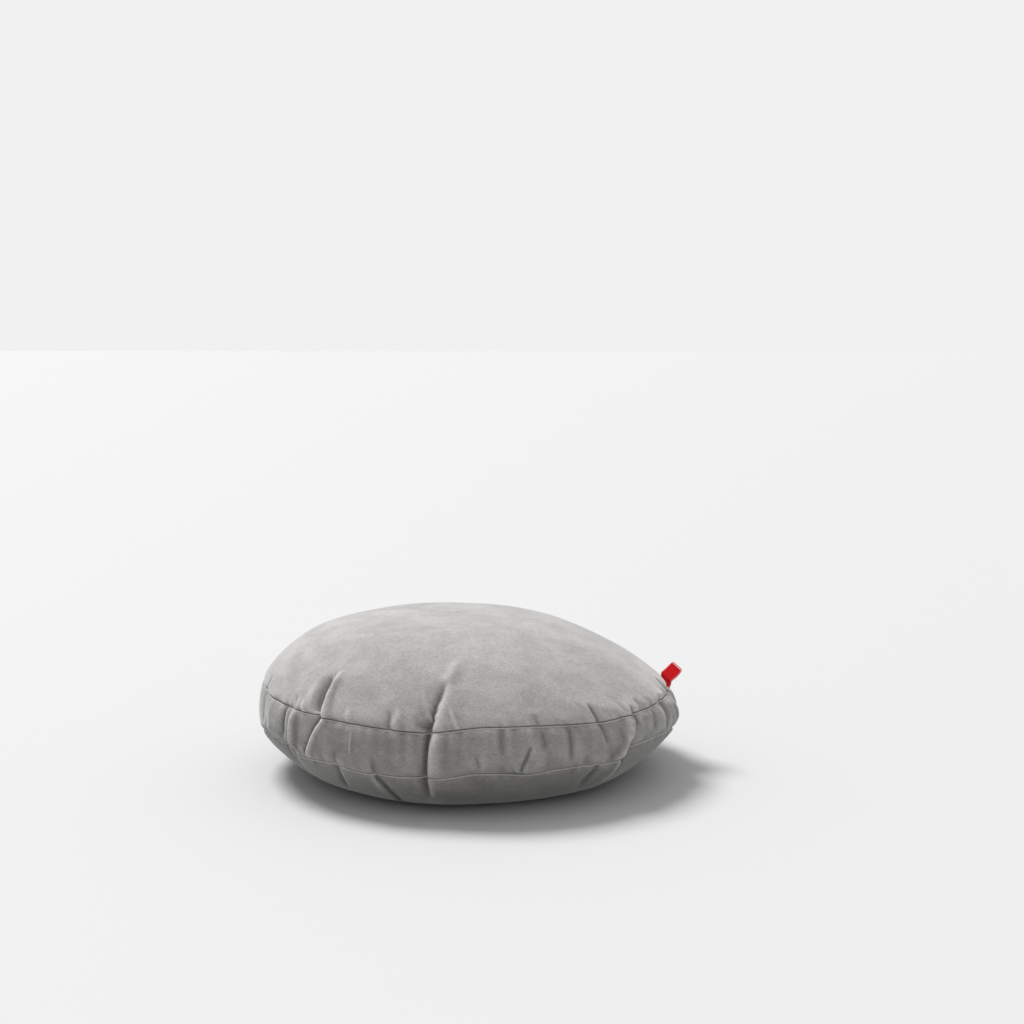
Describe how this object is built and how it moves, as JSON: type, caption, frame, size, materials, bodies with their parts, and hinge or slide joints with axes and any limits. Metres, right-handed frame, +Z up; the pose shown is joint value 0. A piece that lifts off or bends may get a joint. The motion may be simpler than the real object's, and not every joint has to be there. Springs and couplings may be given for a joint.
{
  "type": "floor cushion",
  "caption": "Round boxed floor cushion: domed velvet cover with a side band, a concealed zip in the lower seam, a sewn-in red tag and a soft filled pad.",
  "frame": {"origin": "middle of the flat face the cushion rests on, under the centre of the round cover", "axes": "+Z up through the middle of the dome; -Y towards the front of the cushion; +X towards the sewn-in tag"},
  "size_m": [0.5232, 0.5147, 0.1885],
  "materials": {
    "velvet": "matte",
    "thread": "matte",
    "zip_tape": "matte",
    "zip_coil": "satin",
    "zip_metal": "satin",
    "tag_ribbon": "matte",
    "pad_cloth": "matte",
    "fibre": "matte"
  },
  "bodies": {
    "cushion": {"top_panel": "velvet", "bottom_panel": "velvet", "side_band": "velvet", "top_seam_thread": "thread", "bottom_seam_thread": "thread", "zip_end_tack": "thread", "zip_tape_upper": "zip_tape", "zip_tape_lower": "zip_tape", "zip_coil_upper": "zip_coil", "zip_coil_lower": "zip_coil", "zip_stop_front": "zip_metal", "zip_stop_rear": "zip_metal", "pad_case_top": "pad_cloth", "pad_case_bottom": "pad_cloth", "fibre_fill": "fibre"},
    "slider": {"zip_slider": "zip_metal"},
    "pull": {"zip_pull": "zip_metal"},
    "tag": {"brand_tag": "tag_ribbon"}
  },
  "joints": [
    {"name": "zip_slide", "type": "hinge", "parent": "cushion", "child": "slider", "pos_m": [0, 0, 0.0505], "axis": [0, 0, 1], "range_deg": [-112, 0]},
    {"name": "zip_pull_swing", "type": "hinge", "parent": "slider", "child": "pull", "pos_m": [0.19727, 0.16198, 0.0489], "axis": [0.4028, 0.3307, 0.8534], "range_deg": [-85, 85]},
    {"name": "tag_flex", "type": "hinge", "parent": "cushion", "child": "tag", "pos_m": [0.24856, 0.03052, 0.10165], "axis": [-0.1219, 0.9925, 0], "range_deg": [-35, 35], "stiffness_Nm_per_rad": 0.002}
  ]
}
